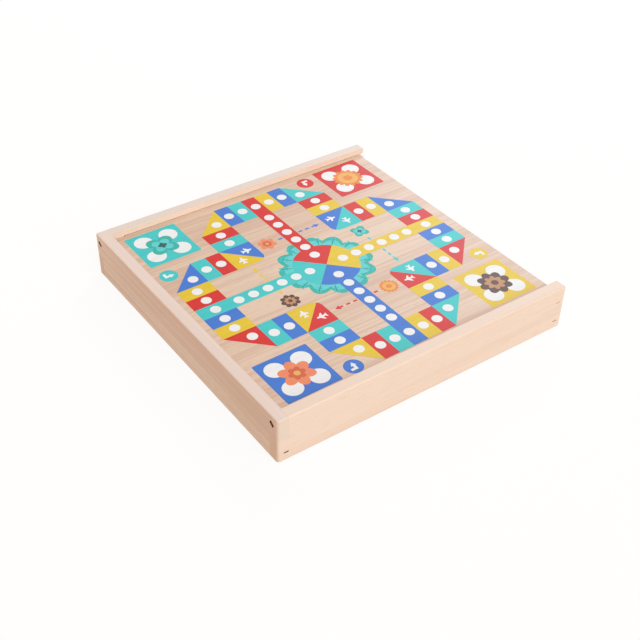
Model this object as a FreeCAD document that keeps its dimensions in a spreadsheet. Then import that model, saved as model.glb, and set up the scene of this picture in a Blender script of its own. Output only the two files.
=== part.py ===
import FreeCAD, Part
import math
import os
import re

import Sketcher

# A flat square games box of solid wood. Three full-height walls and one low wall stand round a plywood
# floor, and a plywood lid slides out over the low wall. Troughs inside hold the men, draughts and dice.
# X is the lid's way out, Y runs from front to rear, Z is up. The origin is the middle of the underside.

doc = FreeCAD.newDocument("GamesBox")

# Driving sizes, in millimetres. Names that end in share are parts of the size that they follow.
SIZES = [
    # Case
    ("box_length", "280"),
    ("box_width", "280"),
    ("cavity_depth", "24.5"),
    ("wall_thickness", "10"),
    ("corner_radius", "2.5"),
    ("edge_ease", "1.2"),
    ("foot_ease", "0.3"),
    ("end_round", "2.5"),
    ("right_wall_round", "3"),
    ("groove_depth", "5"),
    ("lap_share", "0.5"),
    # Floor and partitions
    ("floor_lift", "3"),
    ("floor_thickness", "3"),
    ("floor_clearance", "0.5"),
    ("divider_thickness", "4"),
    ("divider_headroom", "3.5"),
    ("housing_depth", "2"),
    # Lid
    ("lid_thickness", "4"),
    ("lid_drop", "5.5"),
    ("lid_setback", "5.7"),
    ("lid_play", "0.25"),
    ("lid_headroom", "0.4"),
    ("lid_side_clearance", "0.4"),
    ("lid_ease", "0.5"),
    # Brads. The slant is in degrees.
    ("brad_length", "19"),
    ("brad_shank", "1.4"),
    ("brad_head_length", "4.2"),
    ("brad_head_width", "1.4"),
    ("corner_brad_shank", "2"),
    ("corner_brad_head_length", "5"),
    ("corner_brad_head_width", "4"),
    ("brad_head_thickness", "1.2"),
    ("brad_sink", "0.3"),
    ("brad_slant", "36"),
    ("brad_inset_share", "0.74"),
    ("brad_top_drop", "7.3"),
    ("brad_edge", "4.15"),
    ("brad_floor_gap", "0.6"),
    ("brad_cover", "3"),
    # Playing pieces
    ("piece_gap", "1"),
    ("man_base_diameter", "12"),
    ("man_height", "18"),
    ("man_foot_height", "1.6"),
    ("man_shoulder_height", "1.4"),
    ("man_waist_diameter", "8.4"),
    ("man_neck_diameter", "4.6"),
    ("man_head_diameter", "8.4"),
    ("draught_diameter", "24"),
    ("draught_thickness", "6"),
    ("draught_ring_radius", "8"),
    ("draught_ring_depth", "0.8"),
    ("die_size", "14"),
    ("die_round", "1.6"),
    ("die_spacing", "22"),
    ("pip_spacing", "3.6"),
    ("pip_sphere_radius", "1.6"),
    ("pip_depth", "0.7"),
    # Length by which a cutting tool passes the face that it leaves
    ("overrun", "1"),
]

sheet = doc.addObject("Spreadsheet::Sheet", "Sizes")
for row, (alias, size) in enumerate(SIZES, start=1):
    sheet.set(f"A{row}", alias)
    sheet.set(f"B{row}", size)
    sheet.setAlias(f"B{row}", alias)
doc.recompute()

ALIAS = re.compile(r"\b(" + "|".join(alias for alias, size in SIZES) + r")\b")

# Places that several pieces share, as formulas of the sheet's names
HALF_LENGTH = "(box_length / 2)"
HALF_WIDTH = "(box_width / 2)"
INNER_X = "(box_length / 2 - wall_thickness)"
INNER_Y = "(box_width / 2 - wall_thickness)"
FLOOR_TOP = "(floor_lift + floor_thickness)"
LID_UNDER = f"({FLOOR_TOP} + cavity_depth)"
LID_TOP = f"({LID_UNDER} + lid_thickness)"
BOX_HEIGHT = f"({LID_TOP} + lid_drop)"
LAP_SEAM = f"({BOX_HEIGHT} * lap_share)"
RIGHT_WALL_TOP = f"({LID_UNDER} - lid_play)"
LID_NOTCH_X = f"(brad_length + brad_cover - {HALF_LENGTH})"
DIVIDER_TOP = f"({LID_UNDER} - divider_headroom)"
TROUGH_WIDTH = "(max(draught_diameter; 2 * man_base_diameter + piece_gap) + 2 * piece_gap)"
MEN_CELL = "(2 * man_base_diameter + 3 * piece_gap)"
DIVIDER_Y = f"({INNER_Y} - {TROUGH_WIDTH})"
CROSS_X = f"({INNER_X} - {MEN_CELL})"

pieces = []


def formula(text):
    """The formula with each of the sheet's names written as the document reads it."""
    return ALIAS.sub(r"Sizes.\1", text)


def value(text):
    """The number that a formula gives now."""
    return float(sheet.evalExpression(formula(text)))


def bind(item, prop, text):
    """Tie one property of an object to a formula."""
    item.setExpression(prop, formula(text))


def place(item, x, y, z):
    """Tie an object's place to three formulas."""
    for axis, text in zip("xyz", (x, y, z)):
        bind(item, f"Placement.Base.{axis}", text)


def side_span(side, near, far):
    """Low and high formulas of a span that lies on one side of the middle, -1 or 1."""
    return (f"-{far}", f"-{near}") if side < 0 else (near, far)


def piece(item, label):
    """Name a finished sub-part."""
    item.Label = label
    pieces.append(item)
    return item


def block(name, x, y, z):
    """A square-edged block between a low and a high formula on each axis."""
    item = doc.addObject("Part::Box", name)
    for prop, (low, high) in zip(("Length", "Width", "Height"), (x, y, z)):
        bind(item, prop, f"({high}) - ({low})")
    place(item, x[0], y[0], z[0])
    return item


def joined(name, items):
    """Several solids as one."""
    item = doc.addObject("Part::MultiFuse", name)
    item.Shapes = items
    return item


def cut(name, base, tool):
    """One solid less another."""
    item = doc.addObject("Part::Cut", name)
    item.Base = base
    item.Tool = tool
    return item


def common(name, base, tool):
    """What two solids share."""
    item = doc.addObject("Part::Common", name)
    item.Base = base
    item.Tool = tool
    return item


def outline(body, corners):
    """A closed sketch on the body's XY plane whose corners follow pairs of formulas."""
    sketch = body.newObject("Sketcher::SketchObject", body.Name + "_outline")
    plane = next(feature for feature in body.Origin.OriginFeatures if feature.Role == "XY_Plane")
    sketch.AttachmentSupport = [(plane, "")]
    sketch.MapMode = "FlatFace"
    points = [FreeCAD.Vector(value(x), value(y), 0) for x, y in corners]
    for here, there in zip(points, points[1:] + points[:1]):
        sketch.addGeometry(Part.LineSegment(here, there))
    for index, (x, y) in enumerate(corners):
        before = (index - 1) % len(corners)
        sketch.addConstraint(Sketcher.Constraint("Coincident", before, 2, index, 1))
        for kind, text in (("DistanceX", x), ("DistanceY", y)):
            made = sketch.addConstraint(Sketcher.Constraint(kind, -1, 1, index, 1, value(text)))
            sketch.setExpression(f"Constraints[{made}]", formula(text))
    return sketch


def padded(body, corners, height):
    """An outline raised to a height."""
    pad = body.newObject("PartDesign::Pad", body.Name + "_pad")
    pad.Profile = outline(body, corners)
    bind(pad, "Length", height)
    doc.recompute()
    return pad


def edges_where(feature, test):
    """Names of the feature's edges whose two ends pass a test."""
    found = []
    for number, edge in enumerate(feature.Shape.Edges, start=1):
        if test(edge.Vertexes[0].Point, edge.Vertexes[-1].Point):
            found.append(f"Edge{number}")
    return found


def upright(a, b):
    """True for an edge along Z."""
    return abs(a.x - b.x) + abs(a.y - b.y) < abs(a.z - b.z)


def level(a, b):
    """True for an edge in a level plane."""
    return not upright(a, b)


def at_foot(a, b):
    """True for a level edge of the case's underside."""
    return level(a, b) and max(a.z, b.z) < value("foot_ease")


def at_rim(a, b):
    """True for a level edge of the case above its underside."""
    return level(a, b) and not at_foot(a, b)


def dressed(body, kind, prop, feature, test, size):
    """Round or chamfer the chosen edges of a body's feature."""
    dress = body.newObject(kind, body.Name + "_" + prop.lower())
    dress.Base = (feature, edges_where(feature, test))
    bind(dress, prop, size)
    doc.recompute()
    return dress


def round_tool(name, axis, span, sides, radius):
    """What a rounding of that radius takes off an edge along Y, axis 1, or Z, axis 2.

    The span is the edge's low and high end. Each of its two faces is given as its place on its own axis
    and the way that it looks, -1 or 1.
    """
    spans = []
    middle = []
    for face, way in sides:
        inner = f"{face} - ({way}) * {radius}"
        outer = f"{face} + ({way}) * overrun"
        spans.append((inner, outer) if way > 0 else (outer, inner))
        middle.append(inner)
    spans.insert(axis, span)
    middle.insert(axis, f"{span[0]} - overrun")
    bar = doc.addObject("Part::Cylinder", name + "_bar")
    if axis == 1:
        bar.Placement.Rotation = FreeCAD.Rotation(FreeCAD.Vector(1, 0, 0), -90)
    bind(bar, "Radius", radius)
    bind(bar, "Height", f"({span[1]}) - ({span[0]}) + 2 * overrun")
    place(bar, *middle)
    return cut(name, block(name + "_corner", *spans), bar)


# The outside of the case after the corners are glued up and sanded round
envelope = doc.addObject("PartDesign::Body", "envelope")
envelope_pad = padded(envelope, [
    (f"-{HALF_LENGTH}", f"-{HALF_WIDTH}"),
    (HALF_LENGTH, f"-{HALF_WIDTH}"),
    (HALF_LENGTH, HALF_WIDTH),
    (f"-{HALF_LENGTH}", HALF_WIDTH),
], BOX_HEIGHT)
envelope_corners = dressed(envelope, "PartDesign::Fillet", "Radius", envelope_pad, upright, "corner_radius")
envelope_rim = dressed(envelope, "PartDesign::Fillet", "Radius", envelope_corners, at_rim, "edge_ease")
dressed(envelope, "PartDesign::Fillet", "Radius", envelope_rim, at_foot, "foot_ease")

# Spaces that the sliding lid and the floor panel take in the walls
SLOT_Z = (f"{LID_UNDER} - lid_play", f"{LID_TOP} + lid_headroom")
GROOVE_Y = f"({INNER_Y} + groove_depth)"
lid_space = joined("lid_space", [
    block("lid_run", (f"{LID_NOTCH_X} - lid_side_clearance", f"{HALF_LENGTH} + overrun"),
          (f"-{GROOVE_Y}", GROOVE_Y), SLOT_Z),
    block("lid_end", (f"-{INNER_X} - groove_depth", "0"), (f"-{INNER_Y}", INNER_Y), SLOT_Z),
])
floor_space = block("floor_space", (f"-{INNER_X} - groove_depth", f"{INNER_X} + groove_depth"),
                    (f"-{GROOVE_Y}", GROOVE_Y), ("floor_lift", FLOOR_TOP))

# Brads, driven square to the face that they enter, and the slot that each leaves over its sunk head. The
# left wall's corner brads are heavier, with broad heads, and are turned about their shanks by the slant.
BRAD_X = f"({HALF_LENGTH} - wall_thickness * brad_inset_share)"
BRAD_Y = f"({HALF_WIDTH} - wall_thickness * brad_inset_share)"
BRAD_TOP_Z = f"({BOX_HEIGHT} - brad_top_drop)"
BRAD_HIGH_Z = f"({RIGHT_WALL_TOP} - brad_edge)"
BRAD_LOW_Z = f"({FLOOR_TOP} + brad_floor_gap + brad_shank / 2)"


def about_zero(width):
    """Low and high formulas of a width set about zero."""
    return (f"-{width} / 2", f"{width} / 2")


def brad(name, side, along_x, x, y, z):
    """One brad, and the room for it and its slot. It enters the face that looks to one side of X or Y.

    It is shaped about its shank, with the face at zero, and then placed where the shank meets the face.
    """
    gauge = "corner_brad" if along_x else "brad"
    parts = []
    for part, near, far, length, width in (
        ("slot", "(-overrun)", "brad_sink", "head_length", "head_width"),
        ("head", "brad_sink", "(brad_sink + brad_head_thickness)", "head_length", "head_width"),
        ("shank", "(brad_sink + brad_head_thickness)", "brad_length", "shank", "shank"),
    ):
        depth = side_span(-side, near, far)
        long = about_zero(f"{gauge}_{length}")
        across = (depth, long) if along_x else (long, depth)
        parts.append(block(f"{name}_{part}", *across, about_zero(f"{gauge}_{width}")))
    slot, head, shank = parts
    nail = joined(name, [head, shank])
    room = joined(name + "_room", parts)
    for item in (nail, room):
        place(item, x, y, z)
        if along_x:
            item.Placement.Rotation = FreeCAD.Rotation(FreeCAD.Vector(1, 0, 0), value("brad_slant"))
            bind(item, "Placement.Rotation.Angle", "brad_slant")
    return nail, room


def brad_set(label, brads):
    """The brads of one wall as one piece, and the tool that makes room for them and their slots."""
    group = doc.addObject("Part::Compound", label)
    group.Links = [nail for nail, room in brads]
    piece(group, label)
    return joined(label + "_holes", [room for nail, room in brads])


left_holes = brad_set("left_brads", [
    brad("left_front_brad", -1, True, f"-{HALF_LENGTH}", f"-{BRAD_Y}", BRAD_TOP_Z),
    brad("left_rear_brad", -1, True, f"-{HALF_LENGTH}", BRAD_Y, BRAD_TOP_Z),
])
long_holes = {}
for wall, side in (("front", -1), ("rear", 1)):
    face = f"{side} * {HALF_WIDTH}"
    long_holes[wall] = brad_set(f"{wall}_brads", [
        brad(f"{wall}_left_brad", side, False, f"-{BRAD_X}", face, BRAD_LOW_Z),
        brad(f"{wall}_right_brad", side, False, BRAD_X, face, BRAD_LOW_Z),
        brad(f"{wall}_upper_brad", side, False, BRAD_X, face, BRAD_HIGH_Z),
    ])

# Partitions, let into the pieces at their ends
PARTITION_Z = (FLOOR_TOP, DIVIDER_TOP)
dividers = {}
crosses = {}
for wall, side in (("front", -1), ("rear", 1)):
    for hand, end in (("left", -1), ("right", 1)):
        crosses[wall, hand] = block(
            f"{wall}_{hand}_cross",
            side_span(end, f"({CROSS_X} - divider_thickness)", CROSS_X),
            side_span(side, f"({DIVIDER_Y} - housing_depth)", f"({INNER_Y} + housing_depth)"),
            PARTITION_Z,
        )
        piece(crosses[wall, hand], f"{wall}_{hand}_cross")
    stock = block(
        f"{wall}_divider_stock",
        (f"-{INNER_X} - housing_depth", f"{INNER_X} + housing_depth"),
        side_span(side, f"({DIVIDER_Y} - divider_thickness)", DIVIDER_Y),
        PARTITION_Z,
    )
    wall_crosses = [crosses[wall, "left"], crosses[wall, "right"]]
    dividers[wall] = cut(f"{wall}_divider", stock, joined(f"{wall}_divider_housings", wall_crosses))
    piece(dividers[wall], f"{wall}_divider")

# Front and rear walls: full height, with the upper half cut back for the left wall's lap. The lip over
# the lid is rounded where it ends at the right, on its top and on its inner side.
for wall, side in (("front", -1), ("rear", 1)):
    thickness = side_span(side, INNER_Y, HALF_WIDTH)
    stock = block(f"{wall}_stock", (f"-{HALF_LENGTH}", HALF_LENGTH), thickness, ("0", BOX_HEIGHT))
    lap = block(f"{wall}_lap", (f"-{HALF_LENGTH} - overrun", f"-{INNER_X}"), thickness,
                (LAP_SEAM, f"{BOX_HEIGHT} + overrun"))
    end_face = (HALF_LENGTH, 1)
    end_top = round_tool(f"{wall}_end_top", 1, thickness, [end_face, (BOX_HEIGHT, 1)], "end_round")
    end_side = round_tool(f"{wall}_end_side", 2, (LID_TOP, f"{BOX_HEIGHT} + overrun"),
                          [end_face, (f"{side} * {INNER_Y}", -side)], "end_round")
    tools = [lid_space, floor_space, lap, end_top, end_side, left_holes, long_holes[wall],
             crosses[wall, "left"], crosses[wall, "right"]]
    rounded = common(f"{wall}_rounded", stock, envelope)
    piece(cut(f"{wall}_wall", rounded, joined(f"{wall}_tools", tools)), f"{wall}_wall")

# Left wall: full height, with the lower half of each end cut back for the front and rear walls
left_stock = block("left_stock", (f"-{HALF_LENGTH}", f"-{INNER_X}"), (f"-{HALF_WIDTH}", HALF_WIDTH),
                   ("0", BOX_HEIGHT))
left_laps = [
    block(f"left_{wall}_lap", (f"-{HALF_LENGTH}", f"-{INNER_X}"),
          side_span(side, INNER_Y, f"({HALF_WIDTH} + overrun)"), ("-overrun", LAP_SEAM))
    for wall, side in (("front", -1), ("rear", 1))
]
left_tools = [lid_space, floor_space, left_holes, long_holes["front"], long_holes["rear"],
              dividers["front"], dividers["rear"]] + left_laps
left_rounded = common("left_rounded", left_stock, envelope)
piece(cut("left_wall", left_rounded, joined("left_tools", left_tools)), "left_wall")

# Right wall: low, set between the front and rear walls so that the lid passes over it
right_stock = block("right_stock", (INNER_X, HALF_LENGTH), (f"-{INNER_Y}", INNER_Y), ("0", RIGHT_WALL_TOP))
right_round = round_tool("right_round", 1, (f"-{INNER_Y}", INNER_Y),
                         [(HALF_LENGTH, 1), (RIGHT_WALL_TOP, 1)], "right_wall_round")
right_tools = [floor_space, right_round, long_holes["front"], long_holes["rear"],
               dividers["front"], dividers["rear"]]
right_rounded = common("right_rounded", right_stock, envelope)
piece(cut("right_wall", right_rounded, joined("right_tools", right_tools)), "right_wall")

# Floor panel, loose by its clearance in the four grooves
FLOOR_X = f"({INNER_X} + groove_depth - floor_clearance)"
FLOOR_Y = f"({INNER_Y} + groove_depth - floor_clearance)"
piece(block("floor_panel", (f"-{FLOOR_X}", FLOOR_X), (f"-{FLOOR_Y}", FLOOR_Y), ("floor_lift", FLOOR_TOP)),
      "floor_panel")

# Sliding lid: its two left corners are notched, so that they pass the brads at the case's corners
LID_LEFT = f"(-{INNER_X} - groove_depth + lid_side_clearance)"
LID_RIGHT = f"({HALF_LENGTH} - lid_setback)"
LID_HALF = f"({GROOVE_Y} - lid_side_clearance)"
LID_NECK = f"({INNER_Y} - lid_side_clearance)"
lid = doc.addObject("PartDesign::Body", "sliding_lid")
lid_pad = padded(lid, [
    (LID_LEFT, f"-{LID_NECK}"),
    (LID_NOTCH_X, f"-{LID_NECK}"),
    (LID_NOTCH_X, f"-{LID_HALF}"),
    (LID_RIGHT, f"-{LID_HALF}"),
    (LID_RIGHT, LID_HALF),
    (LID_NOTCH_X, LID_HALF),
    (LID_NOTCH_X, LID_NECK),
    (LID_LEFT, LID_NECK),
], "lid_thickness")
dressed(lid, "PartDesign::Chamfer", "Size", lid_pad, level, "lid_ease")
bind(lid, "Placement.Base.z", LID_UNDER)
piece(lid, "sliding_lid")


# Men: turned, with a flat foot, a sloping shoulder, a tapered body and a round head
MAN_NECK_Z = "(man_height - man_head_diameter / 2)"
MAN_BODY_Z = "(man_foot_height + man_shoulder_height)"


def man(label, x, y):
    """One man, standing on the floor."""
    foot = doc.addObject("Part::Cylinder", label + "_foot")
    bind(foot, "Radius", "man_base_diameter / 2")
    bind(foot, "Height", "man_foot_height")
    place(foot, x, y, FLOOR_TOP)
    cones = []
    for name, wide, narrow, low, high in (
        ("shoulder", "man_base_diameter", "man_waist_diameter", "man_foot_height", MAN_BODY_Z),
        ("body", "man_waist_diameter", "man_neck_diameter", MAN_BODY_Z, MAN_NECK_Z),
    ):
        cone = doc.addObject("Part::Cone", f"{label}_{name}")
        bind(cone, "Radius1", f"{wide} / 2")
        bind(cone, "Radius2", f"{narrow} / 2")
        bind(cone, "Height", f"{high} - {low}")
        place(cone, x, y, f"{FLOOR_TOP} + {low}")
        cones.append(cone)
    head = doc.addObject("Part::Sphere", label + "_head")
    bind(head, "Radius", "man_head_diameter / 2")
    place(head, x, y, f"{FLOOR_TOP} + {MAN_NECK_Z}")
    piece(joined(label, [foot, head] + cones), label)


MEN_X = f"({INNER_X} - {MEN_CELL} / 2)"
TROUGH_Y = f"({INNER_Y} - {TROUGH_WIDTH} / 2)"
MAN_STEP = "((man_base_diameter + piece_gap) / 2)"
for colour, end, side in (("red", -1, -1), ("yellow", 1, -1), ("blue", -1, 1), ("teal", 1, 1)):
    for number, (step_x, step_y) in enumerate(((-1, -1), (1, -1), (-1, 1), (1, 1)), start=1):
        man(f"{colour}_man_{number}", f"{end} * {MEN_X} + {step_x} * {MAN_STEP}",
            f"{side} * {TROUGH_Y} + {step_y} * {MAN_STEP}")


# Draughts: flat discs with a turned ring in both faces, stacked in a row down the long cell
def draught(label, x, y, low):
    """One draught with its lower face at a height above the floor."""
    disc = doc.addObject("Part::Cylinder", label + "_disc")
    bind(disc, "Radius", "draught_diameter / 2")
    bind(disc, "Height", "draught_thickness")
    place(disc, x, y, f"{FLOOR_TOP} + {low}")
    rings = []
    for name, level_z in (("under", low), ("upper", f"{low} + draught_thickness")):
        ring = doc.addObject("Part::Torus", f"{label}_{name}_ring")
        bind(ring, "Radius1", "draught_ring_radius")
        bind(ring, "Radius2", "draught_ring_depth")
        place(ring, x, y, f"{FLOOR_TOP} + {level_z}")
        rings.append(ring)
    piece(cut(label, disc, joined(label + "_rings", rings)), label)


DRAUGHTS_A_SIDE = 12
MOST_STACKS = 6
DRAUGHT_STEP = "(draught_diameter + piece_gap)"
LONG_CELL = f"(2 * ({CROSS_X} - divider_thickness) - piece_gap)"
stacks = min(MOST_STACKS, math.floor(value(LONG_CELL) / value(DRAUGHT_STEP)))
for colour, side in (("light", -1), ("dark", 1)):
    for count in range(DRAUGHTS_A_SIDE):
        layer, stack = divmod(count, stacks)
        draught(f"{colour}_draught_{count + 1}", f"({stack} - {stacks - 1} / 2) * {DRAUGHT_STEP}",
                f"{side} * {TROUGH_Y}", f"{layer} * draught_thickness")

# Dice: rounded cubes with sunk pips, lying against the front divider. Each face names its axis, its side
# and the pips' places as shares of the pip spacing.
PIP_SHARES = {
    1: [(0, 0)],
    2: [(-1, -1), (1, 1)],
    3: [(-1, -1), (0, 0), (1, 1)],
    4: [(-1, -1), (-1, 1), (1, -1), (1, 1)],
    5: [(-1, -1), (-1, 1), (0, 0), (1, -1), (1, 1)],
    6: [(-1, -1), (-1, 0), (-1, 1), (1, -1), (1, 0), (1, 1)],
}
DIE_FACES = {1: (2, 1), 6: (2, -1), 2: (1, 1), 5: (1, -1), 3: (0, 1), 4: (0, -1)}
DIE_Y = f"({DIVIDER_Y} - divider_thickness - piece_gap - die_size / 2)"
DIE_Z = f"({FLOOR_TOP} + die_size / 2)"
PIP_REACH = "(die_size / 2 + pip_sphere_radius - pip_depth)"


def die(label, x):
    """One die on the floor of the tray."""
    middle = (x, f"-{DIE_Y}", DIE_Z)
    body = doc.addObject("PartDesign::Body", label + "_cube")
    cube = body.newObject("PartDesign::AdditiveBox", label + "_stock")
    for prop in ("Length", "Width", "Height"):
        bind(cube, prop, "die_size")
    doc.recompute()
    dressed(body, "PartDesign::Fillet", "Radius", cube, lambda a, b: True, "die_round")
    place(body, *(f"{text} - die_size / 2" for text in middle))
    pips = []
    for face, (axis, side) in DIE_FACES.items():
        for shares in PIP_SHARES[face]:
            offsets = [f"{share} * pip_spacing" for share in shares]
            offsets.insert(axis, f"{side} * {PIP_REACH}")
            pip = doc.addObject("Part::Sphere", f"{label}_pip")
            bind(pip, "Radius", "pip_sphere_radius")
            place(pip, *(f"{text} + {offset}" for text, offset in zip(middle, offsets)))
            pips.append(pip)
    piece(cut(label, body, joined(label + "_pips", pips)), label)


die("die_1", "-die_spacing / 2")
die("die_2", "die_spacing / 2")

doc.recompute()

# Nothing is written unless every object is sound
for item in doc.Objects:
    if "Invalid" in item.State or "Error" in item.State:
        raise RuntimeError(f"{item.Label} failed: {item.State}")
for item in pieces:
    if item.Shape.isNull() or not item.Shape.isValid() or not item.Shape.Solids:
        raise RuntimeError(f"{item.Label} has no sound solid")

os.makedirs("parts", exist_ok=True)
for item in pieces:
    item.Shape.exportStep(f"parts/{item.Label}.step")
print(f"{len(pieces)} pieces, case height {value(BOX_HEIGHT):.2f} mm")
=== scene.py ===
import itertools
import math

import bpy
import numpy as np
from mathutils import Matrix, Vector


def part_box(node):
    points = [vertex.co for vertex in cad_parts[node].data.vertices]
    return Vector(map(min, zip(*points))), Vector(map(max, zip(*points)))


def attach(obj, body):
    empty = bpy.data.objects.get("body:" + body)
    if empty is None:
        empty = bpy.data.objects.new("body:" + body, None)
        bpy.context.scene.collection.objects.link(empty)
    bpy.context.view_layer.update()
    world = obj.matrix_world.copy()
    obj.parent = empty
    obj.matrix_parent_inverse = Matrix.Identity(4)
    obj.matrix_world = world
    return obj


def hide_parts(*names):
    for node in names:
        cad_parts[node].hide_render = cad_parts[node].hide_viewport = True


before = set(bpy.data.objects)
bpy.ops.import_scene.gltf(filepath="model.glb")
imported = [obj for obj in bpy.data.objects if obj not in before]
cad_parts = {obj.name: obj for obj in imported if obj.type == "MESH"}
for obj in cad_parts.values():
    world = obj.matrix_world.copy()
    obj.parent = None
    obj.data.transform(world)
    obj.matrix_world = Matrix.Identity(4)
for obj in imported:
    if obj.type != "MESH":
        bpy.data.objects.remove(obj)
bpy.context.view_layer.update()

# Walls
# Four boards of sanded beech under a thin matt lacquer. The left board laps over the front and rear ones
# at its two corners, the low right board stands between them, and sunk brads hold them together.
MM = 0.001
X, Y, Z = range(3)
# Length along the grain, width across it (mm) and noise detail of each layer of figure. The flecks are
# drawn about twice as wide as real ones, so that they show at the picture's size.
FIGURE = {"bands": (320, 26, 2), "lines": (150, 2.4, 3), "flecks": (9, 0.9, 1)}
# Noise levels between which the deep tone and the flecks come in, and how far a fleck covers the wood.
DEEP_RANGE = (0.8, 1.25)
FLECK_RANGE = (0.60, 0.78)
FLECK_SHARE = 0.7
# Shares of the normal along an axis between which a surface comes to count as facing that way.
SQUARE_RANGE = (0.6, 0.9)
# Strength of the grain's relief and its height (mm).
GRAIN_RELIEF = (0.12, 0.2)
# The end grain's pores, drawn about ten times as wide as real ones, so that they show.
PORE_MM = 0.9
# Pale, deep and fleck tones of the boards, the paler, greyer tones painted on their level faces as a sheen,
# the tones of their end grain, and how far a level face takes its painted sheen.
LONG_TONES = ("#EFD4C0", "#EACCB7", "#E3C3AB")
CROSS_TONES = ("#F6DCC8", "#E7C4AD", "#E1BDA2")
# Painted sheen: the greyer, paler tone that each board's top takes.
FRONT_TOP_SHEEN = "#E1D3C9"
REAR_TOP_SHEEN = "#D2D0D1"
CROSS_TOP_SHEEN = "#DAD6D7"
LONG_ENDS = ("#EBCBB2", "#E2BFA4")
CROSS_ENDS = ("#EBD5C4", "#E2CAB8")
TOP_SHEEN_SHARE = 0.6


def linear(code):
    """Linear RGBA of an sRGB hex colour: c / 12.92 for dark values, ((c + 0.055) / 1.055) ** 2.4 above."""
    c = np.array([int(code[i:i + 2], 16) for i in (1, 3, 5)]) / 255
    c = np.where(c <= 0.04045, c / 12.92, ((c + 0.055) / 1.055) ** 2.4)
    return (*c.tolist(), 1.0)


def add(tree, kind, settings, sockets):
    """Adds one node with its own settings; each socket is linked to an output or set to a value. In a mix of
    colours, sockets 6 and 7 are the two colours, socket 0 is the second one's share, and output 2 the mix."""
    made = tree.nodes.new(kind)
    for field, value in settings.items():
        setattr(made, field, value)
    for socket, value in sockets.items():
        if isinstance(value, bpy.types.NodeSocket):
            tree.links.new(value, made.inputs[socket])
        else:
            made.inputs[socket].default_value = value
    return made


def new_finish(name, **sockets):
    """An empty material with one surface shader, whose constant sockets are set by name."""
    finish = bpy.data.materials.new(name)
    finish.use_nodes = True
    shader = finish.node_tree.nodes["Principled BSDF"]
    for socket, value in sockets.items():
        shader.inputs[socket.replace("_", " ")].default_value = value
    return finish, finish.node_tree, shader


def wood_figure(tree, place, axis):
    """Noise at a place vector, drawn out along the grain's axis in three sizes. Gives bands and lines added
    up, how far the flecks cover, and a height that the lines raise and the flecks lower."""
    layer = {}
    for part, (length, width, detail) in FIGURE.items():
        stretch = [1 / (width * MM)] * 3
        stretch[axis] = 1 / (length * MM)
        drawn = add(tree, "ShaderNodeMapping", {}, {"Vector": place, "Scale": stretch})
        noise = add(tree, "ShaderNodeTexNoise", {},
                    {"Vector": drawn.outputs[0], "Scale": 1.0, "Detail": detail})
        layer[part] = noise.outputs[0]
    waves = add(tree, "ShaderNodeMath", {"operation": "ADD"}, {0: layer["bands"], 1: layer["lines"]})
    spots = add(tree, "ShaderNodeMapRange", {"interpolation_type": "SMOOTHSTEP"},
                {"Value": layer["flecks"], "From Min": FLECK_RANGE[0], "From Max": FLECK_RANGE[1],
                 "To Max": FLECK_SHARE})
    height = add(tree, "ShaderNodeMath", {"operation": "SUBTRACT"},
                 {0: layer["lines"], 1: spots.outputs[0]})
    return waves.outputs[0], spots.outputs[0], height.outputs[0]


def grained(tree, place, axis, tones):
    """Wood's colour and height at a place vector: the figure's bands and lines mix the pale tone with the
    deep one, and its flecks darken that."""
    pale, deep, fleck = (linear(tone) for tone in tones)
    waves, spots, height = wood_figure(tree, place, axis)
    share = add(tree, "ShaderNodeMapRange", {"interpolation_type": "SMOOTHSTEP"},
                {"Value": waves, "From Min": DEEP_RANGE[0], "From Max": DEEP_RANGE[1]})
    ground = add(tree, "ShaderNodeMix", {"data_type": "RGBA"}, {0: share.outputs[0], 6: pale, 7: deep})
    flecked = add(tree, "ShaderNodeMix", {"data_type": "RGBA"}, {0: spots, 6: ground.outputs[2], 7: fleck})
    return flecked.outputs[2], height


def facing(tree, coords, axis):
    """How squarely a surface faces along an axis: the normal's share there, sharpened to 0 or 1."""
    parts = add(tree, "ShaderNodeSeparateXYZ", {}, {0: coords.outputs["Normal"]})
    size = add(tree, "ShaderNodeMath", {"operation": "ABSOLUTE"}, {0: parts.outputs[axis]})
    square = add(tree, "ShaderNodeMapRange", {"interpolation_type": "SMOOTHSTEP"},
                 {"Value": size.outputs[0], "From Min": SQUARE_RANGE[0], "From Max": SQUARE_RANGE[1]})
    return square.outputs[0]


def surface(tree, shader, colour, height, relief):
    """Gives a shader its colour, and a relief from a height: a strength, and a depth in millimetres."""
    strength, depth = relief
    bump = add(tree, "ShaderNodeBump", {}, {"Strength": strength, "Distance": depth * MM, "Height": height})
    tree.links.new(colour, shader.inputs["Base Color"])
    tree.links.new(bump.outputs[0], shader.inputs["Normal"])


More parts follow.
